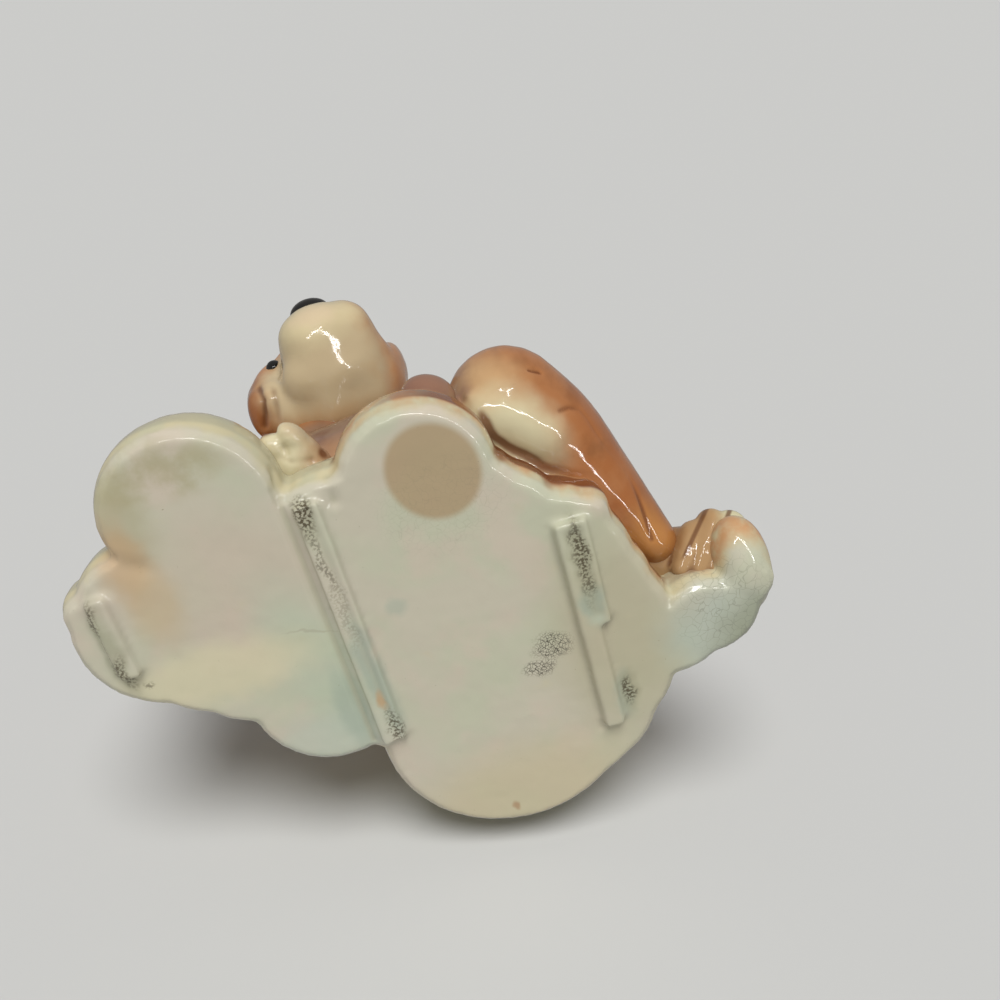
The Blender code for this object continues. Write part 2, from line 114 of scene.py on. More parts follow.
# Well: round lobes of the wall behind the puppy, and its outer side as shares of the height and the flare
WELL_LOBES = [
    (-52.0, -17.0, 17.0), (-30.0, 3.0, 25.0), (-10.0, 12.0, 26.0), (14.0, 22.0, 27.0), (38.0, 36.0, 23.0),
    (38.0, 47.0, 21.0), (11.0, 56.5, 29.5), (-7.5, 27.5, 22.0), (-32.5, 19.5, 22.0), (-45.0, 5.5, 20.0),
    (-63.5, -10.0, 21.0),
]
WELL_WALL = 5.0
WELL_FLARE = 5.0
WELL_PROFILE = [
    (0.0, 0.0), (0.1, 0.02), (0.2, 0.07), (0.3, 0.14), (0.4, 0.24), (0.5, 0.36), (0.6, 0.48), (0.7, 0.62),
    (0.8, 0.76), (0.88, 0.9), (0.95, 1.0),
]
LIP_STEPS = 6               # round the lip, from its outer side to its inner one
WELL_PASSES = 4
WELL_FIXED = 0.5            # height at its foot that isn't sponged

# Limbs: x, y and height over the foot of the spine, then half width and half height there
TRUNK = [
    (-30.0, -25.0, 17.0, 14.0, 16.0), (-12.0, -25.0, 19.0, 15.5, 19.0), (12.0, -25.0, 18.0, 17.5, 19.0),
    (34.0, -15.0, 16.0, 16.5, 18.5), (55.0, 2.0, 12.0, 12.5, 16.0), (65.0, 13.0, 7.0, 9.0, 10.5),
]
NECK = [(-21.0, -25.0, 28.0, 14.0, 14.0), (-19.0, -25.5, 42.0, 14.5, 14.0), (-16.0, -31.0, 52.0, 14.5, 14.0)]
HAUNCH = [
    (37.2, -32.3, 18.0, 17.5, 17.5), (46.5, -20.5, 18.0, 16.0, 19.0), (55.0, -6.0, 14.0, 12.8, 17.0),
    (63.5, 8.0, 8.0, 9.0, 12.5), (68.0, 15.5, 2.0, 7.0, 9.0),
]
HIND_PAW = [(46.0, -24.0, 5.0, 8.5, 6.5), (37.0, -32.0, 6.0, 9.0, 7.0), (30.0, -35.0, 6.5, 8.5, 6.2)]
RIGHT_FORELEG = [
    (-29.0, -29.0, 22.0, 10.0, 11.0), (-26.0, -33.5, 12.0, 9.0, 9.0), (-21.5, -35.5, 5.0, 8.0, 7.0),
]
LEFT_FORELEG = [(2.0, -33.0, 18.0, 9.0, 10.0), (10.0, -36.0, 12.0, 8.0, 8.0), (16.0, -38.0, 9.0, 7.5, 6.5)]
RIGHT_PAW = [(-20.0, -36.0, 2.0, 8.0, 6.2), (-22.5, -40.5, 1.0, 8.5, 5.8)]
LEFT_PAW = [(14.0, -37.0, 7.0, 8.5, 7.0), (15.5, -42.0, 7.0, 8.5, 7.0), (17.0, -45.0, 7.0, 8.0, 6.5)]
TAIL = [(64.0, 19.0, 4.0, 8.0, 8.0), (72.0, 23.0, 3.5, 9.5, 8.5), (79.0, 25.0, 3.0, 10.0, 8.5)]
TAIL_LOCKS = [
    [(72.5, 21.5, -7.0, 2.8, 3.4), (75.8, 17.5, -3.5, 3.0, 4.0), (79.6, 14.8, 1.0, 3.2, 4.6)],
    [(76.8, 23.0, -8.0, 3.0, 3.6), (80.8, 18.0, -4.0, 3.4, 4.4), (85.2, 13.2, 1.0, 3.6, 5.0)],
    [(82.0, 24.5, -8.0, 4.5, 5.0), (87.0, 19.5, -4.0, 5.0, 6.0), (89.5, 17.0, 0.0, 5.5, 6.5)],
]

# Toes: three on a paw, full ones on the right paw and hinted ones on the hind paw
TOE_HALF = (2.9, 5.2, 3.6)
TOE_PITCH = 5.0
TOE_SETBACK = 0.25          # of the outer toes, as a share of how far aside they are

# Head: its middle over the foot; its parts are set out from there, nose to -Y and crown to +Z
HEAD_PLACE = Vector((-14.5, -35.0, SLAB_TOP + 62.5))
HEAD_YAW = math.radians(2)
HEAD_ROLL = math.radians(-22)
SKULL_HALF = (23.0, 23.0, 21.5)
MUZZLE = [(0.0, -4.0, -14.0, 11.5, 14.5), (0.0, -15.0, -14.0, 10.4, 13.5), (0.0, -24.5, -12.8, 8.6, 12.2)]
MUZZLE_SPREAD = [(-6.2, -0.2), (-3.4, -1.4), (-0.6, -1.3), (2.4, -0.3), (5.6, 0.0)]     # aside and forward
BRIDGE = [(0.0, -14.0, 4.0, 9.0, 6.0), (0.0, -23.0, -2.5, 8.0, 6.0), (0.0, -28.0, -6.5, 7.0, 5.0)]
THROAT = ((0.0, -5.0, -15.0), (20.0, 16.0, 13.5))
CHIN = ((-1.0, -13.5, -17.0), (18.0, 13.5, 11.5))
SIDE = ((-9.5, -11.5, -14.0), (8.5, 11.5, 12.0))
JOWL = ((-10.0, -5.0, -16.0), (11.0, 10.0, 10.5))
EYE_PLACE = Vector((15.6, -16.2, 0.8))
EYE_RADIUS = 2.6
NOSE_PLACE = Vector((-0.6, -30.2, -4.4))
NOSE_HALF = (6.4, 4.4, 4.8)
RIGHT_EAR = [
    (-16.5, 1.0, 10.5, 6.0, 3.5), (-21.0, -2.0, 3.5, 8.0, 3.8), (-22.0, -5.0, -7.5, 9.0, 4.0),
    (-20.5, -7.5, -19.5, 8.0, 3.6),
]
RIGHT_CHEEK = [
    (-15.8, -13.2, -1.6, 4.8, 5.0), (-17.0, -12.5, -9.0, 5.0, 5.5), (-15.0, -10.5, -19.0, 5.5, 5.5),
]
LEFT_EAR = [
    (17.0, -1.0, 13.5, 6.0, 3.5), (21.0, -3.0, 6.5, 8.0, 3.8), (21.7, -6.0, -4.5, 9.0, 4.0),
    (20.0, -8.0, -15.5, 8.0, 3.6),
]

# Folds pressed into the coat, set out like the hollows of the foot
BODY_GROOVES = [
    ([(51.0, -32.0, 23.0), (57.0, -29.6, 26.7), (61.0, -19.0, 24.0), (66.0, -8.6, 23.0), (66.5, 10.5, 15.0)],
     0.9, 0.5, 0.8),
    ([(45.5, -43.8, 28.3), (48.5, -42.0, 29.0)], 0.5, 0.7, 1.0),
    ([(-26.0, -46.0, 18.0), (-22.0, -42.0, 16.0), (-17.0, -40.5, 17.0)], 0.9, 0.7, 0.5),
    ([(-23.8, -50.0, 20.0), (-22.5, -44.0, 15.5)], 0.8, 0.8, 0.3),
    ([(-11.0, -40.5, 19.0), (-15.0, -42.0, 25.0), (-20.0, -44.0, 30.0)], 0.9, 0.7, 0.5),
    ([(-11.0, -40.5, 19.0), (-11.0, -42.0, 27.0), (-13.0, -43.0, 34.0)], 0.8, 0.5, 0.4),
]
HEAD_GROOVES = [
    ([(-33.5, -51.0, 66.0), (-32.0, -47.7, 59.7), (-34.5, -40.0, 59.0)], 1.0, 0.9, 0.9),
    ([(-29.0, -52.5, 63.0), (-28.0, -48.5, 58.0), (-30.0, -41.0, 56.0)], 1.4, 0.7, 0.8),
]
TAIL_GROOVES = [
    ([(74.8, 22.0, 10.5), (78.3, 18.5, 15.0), (82.4, 15.5, 21.5)], 1.7, 0.4, 1.0),
    ([(79.8, 23.0, 9.5), (83.8, 18.0, 14.5), (87.3, 14.0, 21.5)], 1.6, 0.4, 1.0),
]

# Brown lines between the tail's locks: a place on each, and the upright of the plane that it lies in
TAIL_LINES = [((76.3, 14.1, 12.0), (-0.743, -0.503, 0.441)), ((85.3, 13.7, 12.0), (-0.769, -0.453, 0.449))]

# How fine the forms are: facets round and along an oval, and steps along edges and lines
FINE = (48, 32)
MIDDLE = (32, 20)
COARSE = (16, 12)
FOOT_STEP = 2.0
WELL_STEP = 1.5
LINE_STEP = 3.0

# Glaze: how its edges wander, in patches per millimetre and reach, and a line's share at full strength
DRIFT_SCALE = 0.14
DRIFT_REACH = 6.0
LINE_CORE = 0.3
GLAZE_IOR = 1.5

# Skin: length of the slow waves and how many times shorter the fine ones are, how much glaze pools in
# creases, and the lift where a crease starts and ends
WAVE_LENGTH = 9.0
WELL_WAVE_LENGTH = 12.0
WAVE_FINER = 2.7
BODY_CREASED = 0.28
TAIL_CREASED = 1.0
HEAD_CREASED = 0.5
CREASE_LIFT = (0.05, 0.25)

# Camera and floor, as the planter is seen: lying on its back, underside to the front
CAMERA_PLACE = (28.04, -130.91, -234.23)
CAMERA_PITCH = math.radians(25)     # from the planter's own upright axis
CAMERA_ROLL = math.radians(16.24)
CAMERA_LENS = 36.0
CAMERA_SENSOR = 36.0
CAMERA_CLIP = (0.005, 50.0)
FLOOR_PITCH = math.radians(30)      # how far the camera looks down on the floor
FLOOR_SIZE = 6.0

# Soft light from above: its way across, away and up, and how wide it is in degrees; shares of the fills
OVERHEAD_WAY = (-0.02, 0.36, -0.88)
OVERHEAD_ANGLE = 32
FILL_ANGLE = 120
FILL_SHARES = {"front": 1.0, "back": 1.3, "under": 0.8}
ROOM_TONE = (1.0, 0.98, 0.95, 1.0)

# Bare tubes: aside, above and towards the camera in metres, and turned in degrees
TUBES = [(-0.08, 0.55, 0.45, 105.0), (0.14, 0.52, 0.42, 70.0), (0.45, 0.3, 0.45, 85.0)]
TUBE_SIZE = (0.016, 0.5)
TUBE_AIM = Vector((0.0, 0.0, 0.04))


def linear(text):
    """An sRGB hex colour as linear red, green, blue and alpha."""
    values = [int(text[start:start + 2], 16) / 255 for start in (1, 3, 5)]
    return (*[v / 12.92 if v <= 0.04045 else ((v + 0.055) / 1.055) ** 2.4 for v in values], 1.0)


class PlanterClay(bpy.types.PropertyGroup):
    """How the clay forms are worked."""

    voxel: bpy.props.FloatProperty(
        name="Grain", description="Size of the voxels in which members are fused",
        default=0.0007, unit="LENGTH", precision=5)
    passes: bpy.props.IntProperty(
        name="Sponging", description="How often the fused clay is smoothed", default=14)
    wave: bpy.props.FloatProperty(
        name="Hand wave", description="Height of the slow waves that hand finishing leaves",
        default=0.00012, unit="LENGTH", precision=5)


class PlanterGlaze(bpy.types.PropertyGroup):
    """Colours and gloss of the glazes."""

    cream: bpy.props.FloatVectorProperty(
        name="Cream", description="Ground of the foot: clear glaze over the cream body", subtype="COLOR",
        size=3, default=linear("#bbb5a2")[:3])
    brown: bpy.props.FloatVectorProperty(
        name="Brown", description="Ground of the coat: iron brown sprayed under the clear glaze",
        subtype="COLOR", size=3, default=linear("#a0693f")[:3])
    gloss: bpy.props.FloatProperty(
        name="Roughness", description="Roughness of the fired glaze", default=0.09, min=0.0, max=1.0)


class PlanterStage(bpy.types.PropertyGroup):
    """Floor and light."""

    floor: bpy.props.FloatVectorProperty(
        name="Floor", description="Colour of the plain sweep", subtype="COLOR", size=3,
        default=(0.58, 0.58, 0.566))
    backdrop: bpy.props.FloatVectorProperty(
        name="Backdrop", description="Tone beyond the floor's edge", subtype="COLOR", size=3,
        default=(0.597, 0.597, 0.58))
    overhead: bpy.props.FloatProperty(
        name="Overhead", description="Strength of the soft light from above", default=0.88)
    fill: bpy.props.FloatProperty(
        name="Fill", description="Strength of the lights that reach only the planter", default=0.28)
    tubes: bpy.props.FloatProperty(name="Tubes", description="Power of each bare tube, in watts", default=1.0)
    sky: bpy.props.FloatProperty(name="Sky", description="Strength of the even light all round", default=0.22)
    room: bpy.props.FloatProperty(
        name="Room", description="Brightness of the room as the gloss shows it", default=0.35)


def set_out(point):
    """A set-out point in millimetres as a place in the frame in metres."""
    return (Vector(point) + SHIFT) * MM


def on_head():
    """The matrix that carries a shape from the head's own axes to its place."""
    turn = Matrix.Rotation(HEAD_YAW, 4, "Z") @ Matrix.Rotation(HEAD_ROLL, 4, "Y")
    return Matrix.Translation(HEAD_PLACE) @ turn


def on_foot(stations):
    """Stations whose heights count from the foot's top."""
    return [(x, y, SLAB_TOP + z, width, height) for x, y, z, width, height in stations]


def smooth_run(stations, step):
    """Points about one step apart on a smooth curve through the stations."""
    rows = np.array([stations[0]] + list(stations) + [stations[-1]], float)
    points = []
    for before, start, end, after in zip(rows, rows[1:], rows[2:], rows[3:]):
        count = max(1, int(np.linalg.norm(end[:3] - start[:3]) / step))
        for t in np.arange(count) / count:
            points.append(0.5 * (
                2 * start + (end - before) * t + (2 * before - 5 * start + 4 * end - after) * t ** 2
                + (3 * start - before - 3 * end + after) * t ** 3))
    points.append(rows[-1])
    return np.array(points)


def roll_limb(bm, stations, upward=(0.0, 0.0, 1.0), carry=None, facets=(20, 14), step=2.0):
    """Roll out a limb of clay as overlapping ovals along a smooth curve."""
    carry = carry or Matrix.Identity(4)
    points = smooth_run(stations, step)
    oval = bmesh.new()
    bmesh.ops.create_uvsphere(oval, u_segments=facets[0], v_segments=facets[1], radius=1.0)
    for index, (x, y, z, width, height) in enumerate(points):
        ahead, behind = points[min(index + 1, len(points) - 1)], points[max(index - 1, 0)]
        along = Vector(ahead[:3] - behind[:3]).normalized()
        across = along.cross(Vector(upward)).normalized()
        rise = across.cross(along).normalized()
        turn = Matrix((across, along, rise)).transposed().to_4x4()
        size = Matrix.Diagonal((width, min(width, height), height, 1.0))
        pressed = bpy.data.meshes.new("oval")
        oval.to_mesh(pressed)
        pressed.transform(carry @ Matrix.Translation((x, y, z)) @ turn @ size)
        bm.from_mesh(pressed)
        bpy.data.meshes.remove(pressed)
    oval.free()


def press_ball(bm, point, half, carry=None, facets=(24, 16)):
    """Add one oval of clay."""
    carry = carry or Matrix.Identity(4)
    place = carry @ Matrix.Translation(point) @ Matrix.Diagonal((*half, 1.0))
    bmesh.ops.create_uvsphere(bm, u_segments=facets[0], v_segments=facets[1], radius=1.0, matrix=place)


def add_toes(bm, paw, grow=1.0, reach=1.0):
    """Three toes side by side on the end of a paw."""
    root, tip = Vector(paw[0][:3]), Vector(paw[-1][:3])
    along = (tip - root).normalized()
    across = along.cross(Vector((0, 0, 1))).normalized()
    turn = Vector((0, -1, 0)).rotation_difference(along).to_matrix().to_4x4()
    for number in (-1, 0, 1):
        aside = number * TOE_PITCH * grow
        place = tip + across * aside + along * (paw[-1][4] * reach - abs(aside) * TOE_SETBACK)
        carry = Matrix.Translation(place) @ turn
        press_ball(bm, (0, 0, 0), [size * grow for size in TOE_HALF], carry)


def crossing(first, second):
    """The outer point where one lobe meets the next; lobes that miss meet on their centre line."""
    start, end = Vector(first[:2]), Vector(second[:2])
    apart = (end - start).length
    along = (end - start) / apart
    reach = (first[2] ** 2 - second[2] ** 2 + apart ** 2) / (2 * apart)
    height = math.sqrt(max(first[2] ** 2 - reach ** 2, 0.0))
    return start + along * reach + Vector((along.y, -along.x)) * height


def lobed_ring(lobes, inset, step):
    """A closed ring of points along the lobes' arcs, with the same count at any inset."""
    ring = []
    shrunk = [(x, y, radius - inset) for x, y, radius in lobes]
    for index in range(len(lobes)):
        spans = []
        for rows in (lobes, shrunk):
            centre = Vector(rows[index][:2])
            start = crossing(rows[index - 1], rows[index]) - centre
            end = crossing(rows[index], rows[(index + 1) % len(rows)]) - centre
            angle = math.atan2(start.y, start.x)
            spans.append((angle, (math.atan2(end.y, end.x) - angle) % (2 * math.pi)))
        count = max(3, round(lobes[index][2] * spans[0][1] / step))
        angle, sweep = spans[1]
        x, y, radius = shrunk[index]
        for share in (np.arange(count) + 0.5) / count:
            turn = angle + sweep * share
            ring.append((x + radius * math.cos(turn), y + radius * math.sin(turn)))
    return ring


def seam(inset, height, *shape):
    """A hollow along the foot's edge."""
    return ([(x, y, height) for x, y in lobed_ring(FOOT_LOBES, inset, LINE_STEP)], *shape)


def mesh_of(bm):
    """Turn a bmesh into a mesh and free it."""
    mesh = bpy.data.meshes.new("clay")
    bm.to_mesh(mesh)
    bm.free()
    return mesh


def sponge(skin, passes, verts=None, upright=True):
    """Smooth the clay some times over, or some of it, and only sideways if upright is off."""
    for _ in range(passes):
        bmesh.ops.smooth_vert(
            skin, verts=verts or skin.verts, factor=0.5, use_axis_x=True, use_axis_y=True, use_axis_z=upright)


def fuse(bm, voxel, passes):
    """Fuse overlapping clay into one skin and sponge it smooth."""
    rough = bpy.data.objects.new("rough_clay", mesh_of(bm))
    bpy.context.scene.collection.objects.link(rough)
    step = rough.modifiers.new("fuse", "REMESH")
    step.mode = "VOXEL"
    step.voxel_size = voxel
    fused = bpy.data.meshes.new_from_object(rough.evaluated_get(bpy.context.evaluated_depsgraph_get()))
    bpy.data.objects.remove(rough)
    skin = bmesh.new()
    skin.from_mesh(fused)
    bpy.data.meshes.remove(fused)
    sponge(skin, passes)
    return mesh_of(skin)


def read_skin(mesh):
    """The mesh's points and normals as arrays."""
    points = np.zeros(len(mesh.vertices) * 3)
    mesh.vertices.foreach_get("co", points)
    normals = np.zeros(len(mesh.vertices) * 3)
    mesh.vertex_normals.foreach_get("vector", normals)
    return points.reshape(-1, 3), normals.reshape(-1, 3)


def line_distance(points, line):
    """How far each point lies from a line through the given stops."""
    nearest = np.full(len(points), 1e9)
    for start, end in zip(np.array(line, float), np.array(line, float)[1:]):
        run = end - start
        share = np.clip((points - start) @ run / (run @ run), 0, 1)
        nearest = np.minimum(nearest, np.linalg.norm(points - start - share[:, None] * run, axis=1))
    return nearest


def carve(points, grooves):
    """How far each point sinks into soft grooves along lines, and how much pooled glaze and painted shade
    colour it.
    """
    sunk = np.zeros(len(points))
    pool_and_shade = np.zeros(len(points))
    for line, width, depth, glaze in grooves:
        share = np.exp(-(line_distance(points, smooth_run(line, LINE_STEP)) / width) ** 2)
        sunk = np.maximum(sunk, depth * share)
        pool_and_shade = np.maximum(pool_and_shade, glaze * share)
    return sunk, pool_and_shade


def hand_wave(points, height, length):
    """Slow waves that hand finishing leaves in the clay."""
    rows = [noise.noise(Vector(point / length)) for point in points]
    return np.array(rows) * height


def creases(mesh, points, normals, passes=12):
    """From 0 to 1, how sharp a crease each point lies in, by how far more sponging would lift it."""
    skin = bmesh.new()
    skin.from_mesh(mesh)
    sponge(skin, passes)
    lifted = np.array([vert.co[:] for vert in skin.verts])
    skin.free()
    start, end = CREASE_LIFT
    return np.clip((((lifted - points) * normals).sum(axis=1) - start) / (end - start), 0, 1)


def work_skin(mesh, wave, length=WAVE_LENGTH, grooves=(), creased=0.0):
    """Carve grooves, leave slow waves with finer ones on them, and note where glaze pools and shade is
    painted, creases too.
    """
    points, normals = read_skin(mesh)
    sunk, pool_and_shade = carve(points, grooves)
    if creased:
        pool_and_shade = np.maximum(pool_and_shade, creased * creases(mesh, points, normals))
    waves = hand_wave(points, wave, length) + hand_wave(points, wave / 2, length / WAVE_FINER)
    moved = points + normals * (waves - sunk)[:, None]
    mesh.vertices.foreach_set("co", moved.ravel())
    pooling_and_shade = mesh.attributes.new("pooling_and_shade", "FLOAT", "POINT")
    pooling_and_shade.data.foreach_set("value", pool_and_shade)


def filled():
    """The group of pieces that the fill lights reach; the floor is left out, so it keeps its shadow."""
    return bpy.data.collections.get("filled") or bpy.data.collections.new("filled")


def finish_piece(mesh, name, material, nodes):
    """Carry the skin into the frame and hand it over."""
    mesh.transform(Matrix.Diagonal((MM, MM, MM, 1.0)) @ Matrix.Translation(SHIFT))
    mesh.update()
    mesh.shade_smooth()
    mesh.name = name
    piece = bpy.data.objects.new(name, mesh)
    bpy.context.scene.collection.objects.link(piece)
    mesh.materials.clear()
    mesh.materials.append(material)
    filled().objects.link(piece)
    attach(piece, "root")
    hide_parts(*nodes)
    return piece


def join(node, sockets):
    """Set or link a node's inputs."""
    for key, value in sockets.items():
        if isinstance(value, bpy.types.NodeSocket):
            node.id_data.links.new(value, node.inputs[key])
        else:
            node.inputs[key].default_value = value


def add_node(tree, kind, sockets=None, **settings):
    """Add a node with its settings and its inputs."""
    node = tree.nodes.new(kind)
    for name, value in settings.items():
        setattr(node, name, value)
    join(node, sockets or {})
    return node


class Glaze:
    """A glazed finish that is painted in layers over its ground, in set-out millimetres."""

    def __init__(self, name, ground):
        self.material = bpy.data.materials.new(name)
        self.material.use_nodes = True
        self.tree = self.material.node_tree
        self.colour = ground
        where = add_node(self.tree, "ShaderNodeTexCoord").outputs["Object"]
        self.place = add_node(self.tree, "ShaderNodeMapping", {
            "Vector": where, "Location": tuple(-SHIFT), "Scale": (1 / MM, 1 / MM, 1 / MM)}).outputs["Vector"]
        drift = add_node(
            self.tree, "ShaderNodeTexNoise", {"Vector": self.place, "Scale": DRIFT_SCALE, "Detail": 2.5})
        centred = add_node(
            self.tree, "ShaderNodeVectorMath", {0: drift.outputs["Color"], 1: (0.5, 0.5, 0.5)},
            operation="SUBTRACT").outputs["Vector"]
        self.drifted = add_node(
            self.tree, "ShaderNodeVectorMath", {0: centred, 1: (DRIFT_REACH,) * 3, 2: self.place},
            operation="MULTIPLY_ADD").outputs["Vector"]

    def layer(self, colour, share):
        """Lay a colour over what is there, by a share from 0 to 1."""
        mix = add_node(
            self.tree, "ShaderNodeMix", {0: share, 6: self.colour, 7: linear(colour)}, data_type="RGBA")
        self.colour = mix.outputs[2]

    def ramp(self, value, start, end, strength=1.0):
        """A soft step from 0 at the start to the strength at the end."""
        return add_node(self.tree, "ShaderNodeMapRange", {
            "Value": value, "From Min": start, "From Max": end, "To Min": 0.0, "To Max": strength},
            interpolation_type="SMOOTHSTEP").outputs["Result"]

    def both(self, *shares):
        """The product of shares."""
        product = shares[0]
        for share in shares[1:]:
            product = add_node(
                self.tree, "ShaderNodeMath", {0: product, 1: share}, operation="MULTIPLY").outputs[0]
        return product

    def spot(self, place, half, soft=0.4, turn=0.0, strength=1.0, drift=True):
        """A soft oval: its strength in the middle, 0 outside."""
        local = add_node(self.tree, "ShaderNodeMapping", {
            "Vector": self.drifted if drift else self.place, "Location": place, "Scale": half,
            "Rotation": (0.0, 0.0, math.radians(turn))}, vector_type="TEXTURE").outputs["Vector"]
        reach = add_node(self.tree, "ShaderNodeVectorMath", {0: local}, operation="LENGTH").outputs["Value"]
        return self.ramp(reach, 1.0 + soft, 1.0 - soft, strength)

    def along(self, axis, start, end, strength=1.0, drift=True):
        """A soft step along an axis, in millimetres."""
        parts = add_node(
            self.tree, "ShaderNodeSeparateXYZ", {0: self.drifted if drift else self.place}).outputs
        return self.ramp(parts[axis], start, end, strength)

    def cloud(self, scale, start, end, strength=1.0, stretch=(1.0, 1.0, 1.0)):
        """Soft patches of noise; the scale is in patches per millimetre."""
        spread = add_node(
            self.tree, "ShaderNodeVectorMath", {0: self.place, 1: stretch},
            operation="MULTIPLY").outputs["Vector"]
        noise_fac = add_node(
            self.tree, "ShaderNodeTexNoise", {"Vector": spread, "Scale": scale, "Detail": 5.0}).outputs["Fac"]
        return self.ramp(noise_fac, start, end, strength)

    def crazing(self, scale, width, strength=1.0):
        """A net of fine cracks; the scale is in cells per millimetre, the width a share of a cell."""
        net = add_node(
            self.tree, "ShaderNodeTexVoronoi", {"Vector": self.drifted, "Scale": scale},
            feature="DISTANCE_TO_EDGE").outputs["Distance"]
        return self.ramp(net, width, width * LINE_CORE, strength)

    def stroke(self, place, normal, width, strength=1.0):
        """A soft line where the skin crosses a plane through a place."""
        apart = add_node(
            self.tree, "ShaderNodeVectorMath", {0: self.place, 1: place},
            operation="SUBTRACT").outputs["Vector"]
        aside = add_node(
            self.tree, "ShaderNodeVectorMath", {0: apart, 1: normal},
            operation="DOT_PRODUCT").outputs["Value"]
        reach = add_node(self.tree, "ShaderNodeMath", {0: aside}, operation="ABSOLUTE").outputs[0]
        return self.ramp(reach, width, width * LINE_CORE, strength)

    def pool_and_shade(self, start, end, strength=1.0):
        """Where glaze pools in hollows and creases, and shade is painted by the foot's rails, by what the
        skin notes from 0 to 1.
        """
        pooling_and_shade = add_node(self.tree, "ShaderNodeAttribute", attribute_name="pooling_and_shade").outputs["Fac"]
        return self.ramp(pooling_and_shade, start, end, strength)

    def finish(self, bump=0.035, grain=0.4):
        """Join the colour up and give the glaze its gloss and its faint orange peel."""
        peel = add_node(
            self.tree, "ShaderNodeTexNoise", {"Vector": self.place, "Scale": grain, "Detail": 2.0})
        ripple = add_node(self.tree, "ShaderNodeBump", {
            "Height": peel.outputs["Fac"], "Strength": bump, "Distance": MM})
        join(self.tree.nodes["Principled BSDF"], {
            "Base Color": self.colour, "Roughness": bpy.context.scene.planter_glaze.gloss,
            "IOR": GLAZE_IOR, "Normal": ripple.outputs["Normal"]})
        return self.material


